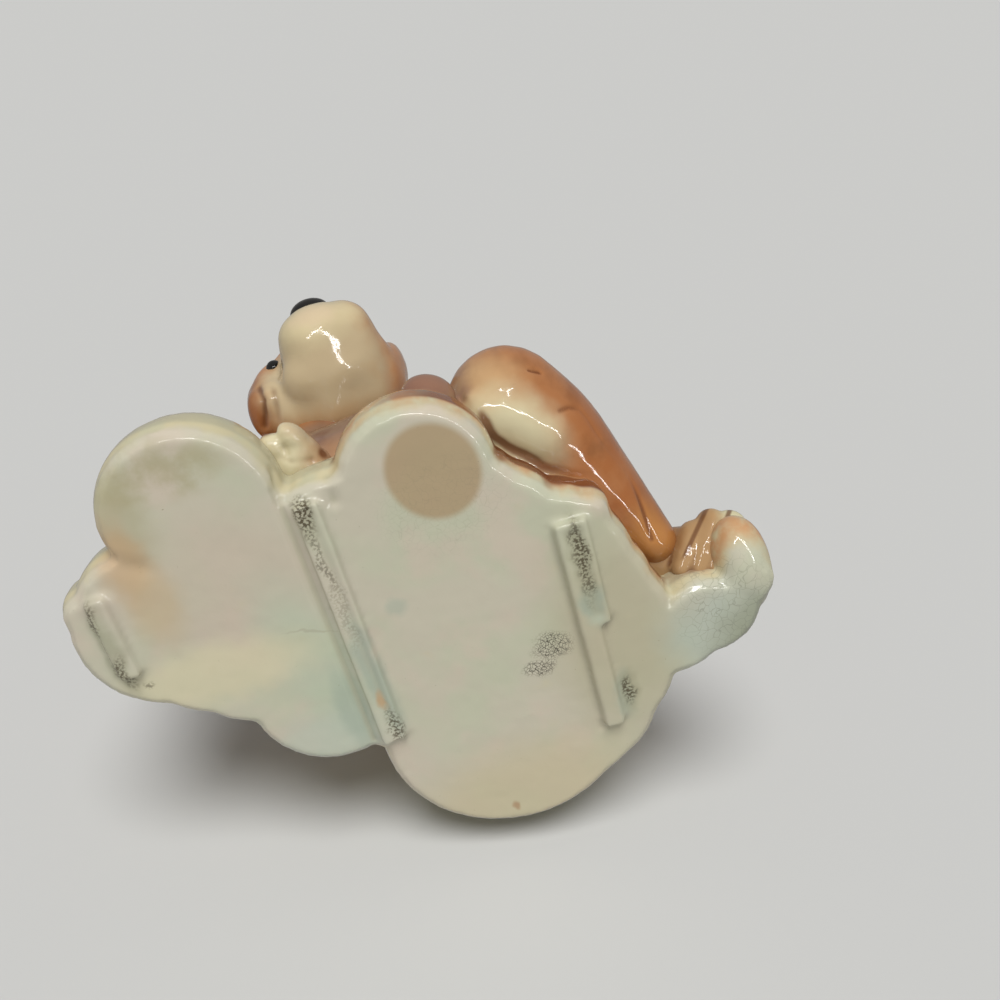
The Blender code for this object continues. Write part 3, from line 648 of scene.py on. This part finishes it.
def foot_glaze():
    """Clear glaze over cream earthenware, pooled green-grey, with painted shade by the rails, under the tail
    and along the back edge: it reads as a cool cream under a wet gloss.
    """
    glaze = Glaze("cream_earthenware_glaze", (*bpy.context.scene.planter_glaze.cream, 1.0))
    glaze.layer("#b5b79f", glaze.cloud(0.035, 0.42, 0.62, 0.8))
    glaze.layer("#c1b4a3", glaze.cloud(0.05, 0.5, 0.68, 0.7))

    # Broad tones of the underside: greenish by the middle rail, creamy along the back edge, and painted shade
    # on the edge itself where the foot lies on the floor
    glaze.layer("#bcae9c", glaze.spot((-50, -18, 3), (24, 20, 9), 0.5, strength=0.6))
    glaze.layer("#adb7a0", glaze.spot((-33, 12, 3), (10, 26, 9), 0.6, turn=-10, strength=0.7))
    glaze.layer("#c9c1a2", glaze.spot((-60, 6, 3), (26, 9, 9), 0.5, strength=0.8))
    glaze.layer("#adb8a8", glaze.spot((-38, 37, 5), (16, 9, 10), 0.5, strength=0.6))
    glaze.layer("#aca68b", glaze.spot((50, 30, 3), (18, 34, 9), 0.6, strength=0.8))
    glaze.layer("#bcb090", glaze.spot((12, 78, 6), (34, 20, 12), 0.5, strength=0.7))
    # Painted shade: a darker band right on the back edge, where the foot lies on the floor
    glaze.layer("#aaa17f", glaze.spot((8, 92, 8), (40, 6, 12), 0.5, strength=0.6))
    glaze.layer("#a9b3a6", glaze.spot((78, 38, 8), (16, 14, 14), 0.5, strength=0.7))

    # Paler, thicker glaze on the rolled edge, greyer under the tail, partly as painted shade
    edge = glaze.along(2, 3.6, 7.0, 0.85)
    glaze.layer("#beb490", edge)
    glaze.layer("#b1b399", glaze.both(edge, glaze.cloud(0.11, 0.46, 0.62, 0.5)))
    # Green-grey glaze under the tail, darkened as painted shade on the knob's lower side
    glaze.layer("#8b8f79", glaze.spot((87, 40, 7), (13, 9, 9), 0.6, turn=-35, strength=0.75))

    # Stains: greenish inside the left lobe, tan at its side, a round tan mark on the middle lobe
    glaze.layer("#a29a78", glaze.both(
        glaze.spot((-53, -53, 3), (17, 8, 6), 0.35), glaze.cloud(0.12, 0.3, 0.65, 0.7)))
    glaze.layer("#a29a78", glaze.spot((-65, -44, 3), (7, 12, 6), 0.5, strength=0.5))
    glaze.layer("#b98f5e", glaze.spot((-70, -33, 5), (6, 11, 8), 0.6, strength=0.5))
    glaze.layer("#b9a27c", glaze.spot((-67, -20, 3), (7, 12, 6), 0.6, strength=0.5))
    glaze.layer("#a38d6b", glaze.spot(
        (13.6, -33.3, 3), (12.2, 13.6, 9), 0.1, turn=-14, strength=0.85, drift=False))

    # Teal where the glaze is thick
    for place, half, strength in (
            ((-19, 16, 0), (3.2, 14, 5), 0.7), ((-7.4, 1.5, 3), (2.7, 2.7, 3), 0.45),
            ((45.0, 17, 0), (3.6, 6, 4), 0.7), ((-28, 30, 3), (4, 14, 4), 0.6), ((47, 50, 1), (3, 8, 4), 0.5),
            ((-17, 33, 0), (3, 8, 4), 0.5)):
        glaze.layer("#98a494", glaze.spot(place, half, 0.5, strength=strength))
    # Grey-green where glaze pools in hollows, and painted shade along the rails' left banks
    glaze.layer("#a3a087", glaze.pool_and_shade(0.15, 0.5, 0.5))

    # Worn, dark-pitted patches on the rails
    pits = glaze.cloud(1.3, 0.42, 0.58)
    for place, half in (
            ((44.5, 2, 0), (2.6, 15, 3)), ((-21.5, -33, 0), (3, 8, 3)), ((48.5, 49.5, 3), (3, 6.5, 3)),
            ((-81.5, -10, 1), (3.0, 18, 4))):
        glaze.layer("#8b8a70", glaze.spot(place, half, 0.5, strength=0.5))
    for place, half, strength in (
            ((-21.6, -33, 0), (2.6, 6.5, 3), 0.9), ((-20.8, -20, 0), (1.3, 9, 3), 0.5),
            ((-20.4, -4, 0), (2.0, 12, 3), 0.25), ((-18.4, 38, 0), (2.2, 6, 3), 0.8),
            ((44.8, 2, 0), (2.0, 13, 3), 0.85), ((48.5, 49.5, 3), (1.8, 4.0, 3), 0.85),
            ((-82, -20, 1), (1.7, 5, 4), 0.8), ((-81, -2, 1), (1.8, 6, 4), 0.8),
            ((-77, 4, 2), (1.5, 1.5, 3), 0.6)):
        glaze.layer("#463b29", glaze.both(glaze.spot(place, half, 0.5, strength=strength), pits))
    glaze.layer("#b98d5c", glaze.spot((-19.6, 28, 0), (1.3, 3.5, 3), 0.5, strength=0.6))

    # Dirt in two crackled patches, crazing towards the tail, specks and a hair line
    cracks = glaze.crazing(1.1, 0.12)
    for place, half in (((30.1, 27.4, 3), (5, 4.2, 3)), ((25.7, 34.2, 3), (4.5, 2.6, 3))):
        glaze.layer("#3c372e", glaze.both(glaze.spot(place, half, 0.35, strength=0.8), cracks))
        glaze.layer("#3c372e", glaze.both(
            glaze.spot(place, half, 0.5, strength=0.7), glaze.cloud(2.2, 0.55, 0.65)))
    glaze.layer("#77796b", glaze.both(
        glaze.spot((82, 32, 8), (15, 15, 14), 0.3, strength=0.4), glaze.crazing(0.4, 0.04)))
    glaze.layer("#77745f", glaze.both(
        glaze.spot((13, -24, 3), (17, 14, 9), 0.3, strength=0.15), glaze.crazing(0.5, 0.04)))
    glaze.layer("#6d6149", glaze.cloud(1.6, 0.735, 0.78, 0.8))
    glaze.layer("#9a9482", glaze.spot((-31, 1.6, 3), (7, 0.35, 3), 0.5, turn=18, strength=0.4))
    glaze.layer("#9a6f4a", glaze.spot((7.3, 78.5, 4), (1.4, 2.2, 3), 0.4, strength=0.6))

    # Brown that ran down from the puppy and pooled in the seam along the front
    front = glaze.both(glaze.along(1, 24, 18), glaze.along(0, -14, -4))
    glaze.layer("#b98f66", glaze.both(front, glaze.along(2, 3.5, 9.5), glaze.cloud(0.16, 0.3, 0.6)))
    glaze.layer("#6e3b1e", glaze.both(
        front, glaze.along(0, -4, 24, 0.95), glaze.along(2, 5, 8), glaze.pool_and_shade(0.25, 0.6)))
    for place in ((31, -30, 10.3), (44, -19.5, 10.3)):
        glaze.layer("#6e3b1e", glaze.spot(place, (4.0, 3.2, 4.4), 0.6, strength=0.9))
    return glaze.finish()


def well_glaze():
    """Iron brown sprayed on the rim and fading down the cream wall: warm above, cream below."""
    glaze = Glaze("sprayed_wall_glaze", linear("#cdc6a6"))
    glaze.layer("#b4bba4", glaze.cloud(0.05, 0.45, 0.65, 0.7))
    glaze.layer("#b98756", glaze.both(glaze.along(2, 34, 58), glaze.cloud(0.06, 0.2, 0.5)))
    glaze.layer("#8a5630", glaze.along(2, 58, 68, 0.9))
    glaze.layer("#c9a273", glaze.along(2, POT_TOP - 1.2, POT_TOP, 0.6, drift=False))
    return glaze.finish()


def coat_glaze():
    """Iron brown sprayed over cream: tan on the forms that face up, cream where the spray thins."""
    glaze = Glaze("sprayed_coat_glaze", (*bpy.context.scene.planter_glaze.brown, 1.0))
    glaze.layer("#82502b", glaze.cloud(0.07, 0.45, 0.62, 0.8, (1.0, 1.0, 0.5)))

    # Haunch: tan to the left, cream underneath, darker streaks to the right and orange at its end
    glaze.layer("#b8946a", glaze.spot((28, -41, 27), (14, 13, 13), 0.5, turn=25))
    glaze.layer("#c6bc99", glaze.spot((36, -32, 17), (15, 11, 9.5), 0.6, turn=35))
    glaze.layer("#96592c", glaze.both(
        glaze.along(0, 50, 60), glaze.cloud(0.1, 0.3, 0.6, 0.8, (1.0, 1.0, 0.4))))
    glaze.layer("#a8743e", glaze.spot((66, 14, 18), (8, 12, 9), 0.5, strength=0.8))

    # Chest and the left forepaw: mauve-brown glaze, made darker as painted shade under the head
    glaze.layer("#7f6453", glaze.spot((-4, -40, 34), (26, 18, 22), 0.4))
    glaze.layer("#6d4a3c", glaze.both(
        glaze.spot((2, -42, 36), (26, 14, 16), 0.5), glaze.cloud(0.15, 0.45, 0.65, 0.7)))
    glaze.layer("#84604f", glaze.spot((16, -47, 30), (12, 10, 12), 0.3, strength=0.9))
    glaze.layer("#c9bf9d", glaze.spot((-24, -42, 20), (10, 11, 8), 0.35))
    glaze.layer("#ab825d", glaze.spot((-12, -40, 22), (7, 9, 9), 0.5, strength=0.8))

    # Glaze pooled in the folds and along the foot
    glaze.layer("#6b3c1e", glaze.pool_and_shade(0.1, 0.8, 0.85))
    return glaze.finish()


def head_glaze():
    """Cream muzzle and throat below a sprayed brown face: wet gloss, brown pooled in the creases."""
    glaze = Glaze("sprayed_face_glaze", linear("#b07a4c"))
    glaze.layer("#8d5530", glaze.both(glaze.along(2, 84, 98), glaze.cloud(0.08, 0.3, 0.6)))
    glaze.layer("#7f4c2b", glaze.both(glaze.along(0, -27, -36), glaze.along(2, 80, 68, 0.75)))
    glaze.layer("#b9a684", glaze.spot((-13, -50, 64), (19.5, 30, 19), 0.22))
    glaze.layer("#c6b892", glaze.spot((-12, -66, 66), (14, 8, 12), 0.5, strength=0.8))
    glaze.layer("#c9b196", glaze.spot((-9, -68, 60), (9, 3, 8), 0.6, strength=0.5))
    glaze.layer("#b58f62", glaze.spot((-14, -34, 56), (18, 8, 8), 0.5, strength=0.6))
    glaze.layer("#5f371d", glaze.pool_and_shade(0.1, 0.9, 0.8))
    return glaze.finish()


def tail_glaze():
    """Thick cream glaze: pale and wet, with brown in its folds."""
    glaze = Glaze("thick_cream_glaze", linear("#c3bb98"))
    glaze.layer("#a07a50", glaze.along(0, 91, 84, 0.9))
    glaze.layer("#8a6038", glaze.both(glaze.along(0, 90, 84), glaze.along(2, 21, 25)))
    # Painted shade in the valley where the tail meets the end of the haunch
    glaze.layer("#7f5631", glaze.spot((72, 15, 22), (5, 6, 7), 0.6, strength=0.8))
    glaze.layer("#68442a", glaze.pool_and_shade(0.1, 0.8, 0.9))
    for place, normal in TAIL_LINES:
        glaze.layer("#68442a", glaze.both(glaze.stroke(place, normal, 1.0, 0.85), glaze.along(2, 11, 13)))
    return glaze.finish()


def black_glaze():
    """Black underglaze dots under clear glaze: near black with a sharp shine."""
    return Glaze("black_dot_glaze", linear("#151413")).finish()


class PLANTER_OT_foot(bpy.types.Operator):
    """Add the lobed foot with its three rails"""

    bl_idname = "planter.foot"
    bl_label = "Foot and Rails"

    def execute(self, context):
        clay = context.scene.planter_clay
        bm = bmesh.new()
        for inset, lift in FOOT_EDGE:
            ring = lobed_ring(FOOT_LOBES, inset, FOOT_STEP)
            core = bm.faces.new([bm.verts.new((x, y, SLAB_BOTTOM + lift)) for x, y in ring])
            raised = bmesh.ops.extrude_face_region(bm, geom=[core])
            tops = [item for item in raised["geom"] if isinstance(item, bmesh.types.BMVert)]
            bmesh.ops.translate(bm, verts=tops, vec=(0, 0, SLAB_TOP - SLAB_BOTTOM - 2 * lift))
        bmesh.ops.recalc_face_normals(bm, faces=bm.faces)
        middle, half = (SLAB_TOP + SLAB_BOTTOM) / 2, (SLAB_TOP - SLAB_BOTTOM) / 2
        ring = lobed_ring(FOOT_LOBES, FOOT_ROLL, FOOT_STEP)
        edge = [(x, y, middle, FOOT_ROLL, half - FOOT_EDGE[-1][1]) for x, y in ring + ring[:1]]
        roll_limb(bm, edge, facets=COARSE)
        press_ball(bm, *KNOB, facets=FINE)
        short, wider, height = RAIL_BED
        for x, front, back, width in RAILS:
            place = Matrix.Translation((x, (front + back) / 2, SLAB_BOTTOM))
            size = Matrix.Diagonal((width + RAIL_DRAFT, back - front, 2 * SLAB_BOTTOM, 1.0))
            bmesh.ops.create_cube(bm, size=1.0, matrix=place @ size)
            bed = [(x, y, SLAB_BOTTOM, width / 2 + wider, height) for y in (front + short, back - short)]
            roll_limb(bm, bed, facets=COARSE)
        mesh = fuse(bm, clay.voxel / MM, clay.passes // 2)
        work_skin(mesh, clay.wave / MM, grooves=FOOT_GROOVES + [seam(*FOOT_SEAM)])
        finish_piece(
            mesh, "glazed_foot", foot_glaze(),
            ["base_slab", "foot_rail_left", "foot_rail_middle", "foot_rail_right"])
        return {"FINISHED"}


class PLANTER_OT_well(bpy.types.Operator):
    """Add the lobed wall of the well"""

    bl_idname = "planter.well"
    bl_label = "Well Wall"

    def execute(self, context):
        clay = context.scene.planter_clay
        rise = POT_TOP - POT_BOTTOM
        lip = WELL_PROFILE[-1][0]
        rings = [(-WELL_FLARE * flare, share) for share, flare in WELL_PROFILE]
        for turn in np.linspace(0, math.pi, LIP_STEPS + 1)[1:-1]:
            inset = WELL_WALL * (1 - math.cos(turn)) / 2
            rings.append((inset - WELL_FLARE, lip + (1 - lip) * math.sin(turn)))
        rings += [(WELL_WALL - WELL_FLARE * flare, share) for share, flare in reversed(WELL_PROFILE)]
        bm = bmesh.new()
        verts = [bm.verts.new((x, y, POT_BOTTOM)) for x, y in lobed_ring(WELL_LOBES, 0.0, WELL_STEP)]
        edges = [bm.edges.new((verts[index - 1], verts[index])) for index in range(len(verts))]
        first = list(edges)
        for inset, share in rings[1:]:
            risen = bmesh.ops.extrude_edge_only(bm, edges=edges)
            edges = [item for item in risen["geom"] if isinstance(item, bmesh.types.BMEdge)]
            loop = [item for item in risen["geom"] if isinstance(item, bmesh.types.BMVert)]
            for vert, (x, y) in zip(loop, lobed_ring(WELL_LOBES, inset, WELL_STEP)):
                vert.co = (x, y, POT_BOTTOM + rise * share)
        bmesh.ops.bridge_loops(bm, edges=first + edges)
        bmesh.ops.recalc_face_normals(bm, faces=bm.faces)
        risen = [vert for vert in bm.verts if vert.co.z > POT_BOTTOM + WELL_FIXED]
        sponge(bm, WELL_PASSES, risen, upright=False)
        mesh = mesh_of(bm)
        work_skin(mesh, clay.wave / MM, WELL_WAVE_LENGTH)
        finish_piece(mesh, "well_wall", well_glaze(), ["pot_wall"])
        return {"FINISHED"}


class PLANTER_OT_body(bpy.types.Operator):
    """Add the puppy's body, legs and paws"""

    bl_idname = "planter.body"
    bl_label = "Puppy's Body"

    def execute(self, context):
        clay = context.scene.planter_clay
        bm = bmesh.new()
        for limb in (TRUNK, HAUNCH, HIND_PAW, RIGHT_FORELEG, LEFT_FORELEG, RIGHT_PAW, LEFT_PAW):
            roll_limb(bm, on_foot(limb))
        roll_limb(bm, on_foot(NECK), upward=(0.0, -1.0, 0.0))
        add_toes(bm, on_foot(RIGHT_PAW), grow=1.1)
        add_toes(bm, on_foot(HIND_PAW), grow=0.9, reach=0.6)
        mesh = fuse(bm, clay.voxel / MM, clay.passes)
        work_skin(mesh, clay.wave / MM, grooves=BODY_GROOVES + [seam(*BODY_SEAM)], creased=BODY_CREASED)
        finish_piece(
            mesh, "puppy_body", coat_glaze(),
            ["dog_trunk", "dog_neck", "dog_haunch", "dog_hind_paw", "dog_foreleg_right", "dog_foreleg_left",
             "dog_paw_right", "dog_paw_left"])
        return {"FINISHED"}


class PLANTER_OT_tail(bpy.types.Operator):
    """Add the curled tail"""

    bl_idname = "planter.tail"
    bl_label = "Tail"

    def execute(self, context):
        clay = context.scene.planter_clay
        bm = bmesh.new()
        for limb in [TAIL] + TAIL_LOCKS:
            roll_limb(bm, on_foot(limb))
        mesh = fuse(bm, clay.voxel / MM, clay.passes // 2)
        work_skin(mesh, clay.wave / MM, grooves=TAIL_GROOVES, creased=TAIL_CREASED)
        finish_piece(mesh, "puppy_tail", tail_glaze(), ["dog_tail"])
        return {"FINISHED"}


class PLANTER_OT_head(bpy.types.Operator):
    """Add the puppy's head with its muzzle and ears"""

    bl_idname = "planter.head"
    bl_label = "Puppy's Head"

    def execute(self, context):
        clay = context.scene.planter_clay
        bm = bmesh.new()
        press_ball(bm, (0, 0, 0), SKULL_HALF, on_head(), FINE)
        for aside, forward in MUZZLE_SPREAD:
            row = [(x + aside, y + forward, z, width, height) for x, y, z, width, height in MUZZLE]
            roll_limb(bm, row, carry=on_head(), facets=MIDDLE)
        for oval in (THROAT, CHIN, SIDE):
            press_ball(bm, *oval, on_head(), FINE)
        press_ball(bm, *JOWL, Matrix.Translation(HEAD_PLACE), MIDDLE)
        roll_limb(bm, BRIDGE, carry=on_head())
        for ear in (RIGHT_EAR, LEFT_EAR, RIGHT_CHEEK):
            roll_limb(bm, ear, upward=(1.0, 0.0, 0.0), carry=Matrix.Translation(HEAD_PLACE))
        mesh = fuse(bm, clay.voxel / MM, clay.passes * 2)
        work_skin(mesh, clay.wave / MM, grooves=HEAD_GROOVES, creased=HEAD_CREASED)
        finish_piece(
            mesh, "puppy_head", head_glaze(),
            ["dog_skull", "dog_muzzle", "dog_ear_right", "dog_ear_left"])
        return {"FINISHED"}


class PLANTER_OT_features(bpy.types.Operator):
    """Add the nose and the eyes"""

    bl_idname = "planter.features"
    bl_label = "Nose and Eyes"

    def execute(self, context):
        bm = bmesh.new()
        press_ball(bm, NOSE_PLACE, NOSE_HALF, on_head(), MIDDLE)
        finish_piece(mesh_of(bm), "puppy_nose", black_glaze(), ["dog_nose"])
        for side, name in ((-1, "right"), (1, "left")):
            bm = bmesh.new()
            place = Vector((side * EYE_PLACE.x, EYE_PLACE.y, EYE_PLACE.z))
            press_ball(bm, place, (EYE_RADIUS,) * 3, on_head())
            finish_piece(mesh_of(bm), "puppy_eye_" + name, black_glaze(), ["dog_eye_" + name])
        return {"FINISHED"}


def camera_axes():
    """The camera's right, down and forward in the planter's axes."""
    forward = Vector((0.0, math.sin(CAMERA_PITCH), math.cos(CAMERA_PITCH)))
    level = Vector((1.0, 0.0, 0.0))
    drop = forward.cross(level)
    right = level * math.cos(CAMERA_ROLL) + drop * math.sin(CAMERA_ROLL)
    return right, forward.cross(right), forward


def floor_axes():
    """Floor's across, away and up directions in the planter's axes."""
    right, down, forward = camera_axes()
    up = -(down * math.cos(FLOOR_PITCH) + forward * math.sin(FLOOR_PITCH))
    return right, up.cross(right), up


def floor_point():
    """Where the planter touches the floor."""
    up = floor_axes()[2]
    corners = [vert.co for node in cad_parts.values() for vert in node.data.vertices]
    return min(corners, key=up.dot)


def add_light(name, kind, way, energy):
    """A light of one kind that shines one way."""
    data = bpy.data.lights.new(name, kind)
    data.energy = energy
    light = bpy.data.objects.new(name, data)
    light.rotation_mode = "QUATERNION"
    light.rotation_quaternion = way.to_track_quat("-Z", "Y")
    bpy.context.scene.collection.objects.link(light)
    return light


def add_glow(name, way, angle, strength):
    """Soft light from one side, which the gloss doesn't show."""
    glow = add_light(name, "SUN", way, strength * math.pi)
    glow.data.angle = math.radians(angle)
    glow.visible_glossy = False
    return glow


def floor_finish():
    """Matt paper sweep: plain and pale, seen from its upper side only."""
    sheet = bpy.data.materials.new("paper_sweep")
    sheet.use_nodes = True
    tree = sheet.node_tree
    tree.nodes.clear()
    colour = (*bpy.context.scene.planter_stage.floor, 1.0)
    paper = add_node(tree, "ShaderNodeBsdfDiffuse", {"Color": colour})
    clear = add_node(tree, "ShaderNodeBsdfTransparent")
    side = add_node(tree, "ShaderNodeNewGeometry").outputs["Backfacing"]
    mix = add_node(tree, "ShaderNodeMixShader", {0: side, 1: paper.outputs[0], 2: clear.outputs[0]})
    add_node(tree, "ShaderNodeOutputMaterial", {"Surface": mix.outputs[0]})
    return sheet


def world_light(stage):
    """Even light all round; the camera sees the floor's tone beyond the floor."""
    world = bpy.data.worlds.new("even_light")
    world.use_nodes = True
    tree = world.node_tree
    tree.nodes.clear()
    ray = add_node(tree, "ShaderNodeLightPath").outputs
    light = add_node(tree, "ShaderNodeBackground", {"Color": (1.0, 1.0, 1.0, 1.0), "Strength": stage.sky})
    room = add_node(tree, "ShaderNodeBackground", {"Color": ROOM_TONE, "Strength": stage.room})
    backdrop = add_node(tree, "ShaderNodeBackground", {"Color": (*stage.backdrop, 1.0), "Strength": 1.0})
    gloss = add_node(
        tree, "ShaderNodeMixShader", {0: ray["Is Glossy Ray"], 1: light.outputs[0], 2: room.outputs[0]})
    mix = add_node(
        tree, "ShaderNodeMixShader", {0: ray["Is Camera Ray"], 1: gloss.outputs[0], 2: backdrop.outputs[0]})
    add_node(tree, "ShaderNodeOutputWorld", {"Surface": mix.outputs[0]})
    return world


class PLANTER_OT_stage(bpy.types.Operator):
    """Add the floor, the lights and the camera"""

    bl_idname = "planter.stage"
    bl_label = "Stage"

    def execute(self, context):
        stage = context.scene.planter_stage
        across, away, up = floor_axes()
        place = Matrix.Translation(floor_point()) @ Matrix((across, away, up)).transposed().to_4x4()
        bm = bmesh.new()
        bmesh.ops.create_grid(bm, x_segments=1, y_segments=1, size=FLOOR_SIZE, matrix=place)
        mesh = mesh_of(bm)
        mesh.materials.append(floor_finish())
        floor = bpy.data.objects.new("floor", mesh)
        bpy.context.scene.collection.objects.link(floor)
        floor.visible_glossy = False
        floor.visible_shadow = False

        right, down, forward = camera_axes()
        way = away * OVERHEAD_WAY[1] + across * OVERHEAD_WAY[0] + up * OVERHEAD_WAY[2]
        add_glow("overhead", way, OVERHEAD_ANGLE, stage.overhead)
        for name, way in (("front", forward), ("back", -forward), ("under", up)):
            fill = add_glow("fill_" + name, way, FILL_ANGLE, stage.fill * FILL_SHARES[name])
            fill.light_linking.receiver_collection = filled()

        # Bare tubes, seen only as thin streaks in the glaze
        for number, (aside, above, back, turn) in enumerate(TUBES):
            place = TUBE_AIM + up * above - away * back + across * aside
            tube = add_light("tube_%d" % number, "AREA", TUBE_AIM - place, stage.tubes)
            tube.data.shape = "RECTANGLE"
            tube.data.size, tube.data.size_y = TUBE_SIZE
            tube.location = place
            tube.rotation_quaternion = tube.rotation_quaternion @ Matrix.Rotation(
                math.radians(turn), 3, "Z").to_quaternion()
            tube.visible_diffuse = False

        context.scene.world = world_light(stage)
        context.scene.view_settings.view_transform = "Standard"

        data = bpy.data.cameras.new("camera")
        data.lens = CAMERA_LENS
        data.sensor_width = CAMERA_SENSOR
        data.clip_start, data.clip_end = CAMERA_CLIP
        camera = bpy.data.objects.new("camera", data)
        turn = Matrix((right, -down, -forward)).transposed().to_4x4()
        camera.matrix_world = Matrix.Translation(set_out(CAMERA_PLACE)) @ turn
        bpy.context.scene.collection.objects.link(camera)
        context.scene.camera = camera
        return {"FINISHED"}


class PLANTER_PT_panel(bpy.types.Panel):
    """Lists the planter's pieces and settings"""

    bl_label = "Dog Planter"
    bl_idname = "PLANTER_PT_panel"
    bl_space_type = "VIEW_3D"
    bl_region_type = "UI"
    bl_category = "Dog Planter"

    def draw(self, context):
        for group in (context.scene.planter_clay, context.scene.planter_glaze, context.scene.planter_stage):
            box = self.layout.box()
            for name in group.bl_rna.properties.keys():
                if name not in ("rna_type", "name"):
                    box.prop(group, name)
        for step in STEPS:
            self.layout.operator(step.bl_idname)


GROUPS = {"planter_clay": PlanterClay, "planter_glaze": PlanterGlaze, "planter_stage": PlanterStage}
STEPS = (
    PLANTER_OT_foot, PLANTER_OT_well, PLANTER_OT_body, PLANTER_OT_tail, PLANTER_OT_head, PLANTER_OT_features,
    PLANTER_OT_stage,
)


def register():
    for name, group in GROUPS.items():
        bpy.utils.register_class(group)
        setattr(bpy.types.Scene, name, bpy.props.PointerProperty(type=group))
    for step in STEPS + (PLANTER_PT_panel,):
        bpy.utils.register_class(step)


def unregister():
    for step in reversed(STEPS + (PLANTER_PT_panel,)):
        bpy.utils.unregister_class(step)
    for name, group in reversed(GROUPS.items()):
        delattr(bpy.types.Scene, name)
        bpy.utils.unregister_class(group)


def main():
    """Build every piece and the stage."""
    register()
    for step in STEPS:
        getattr(bpy.ops.planter, step.bl_idname.split(".")[1])()


if __name__ == "__main__":
    main()
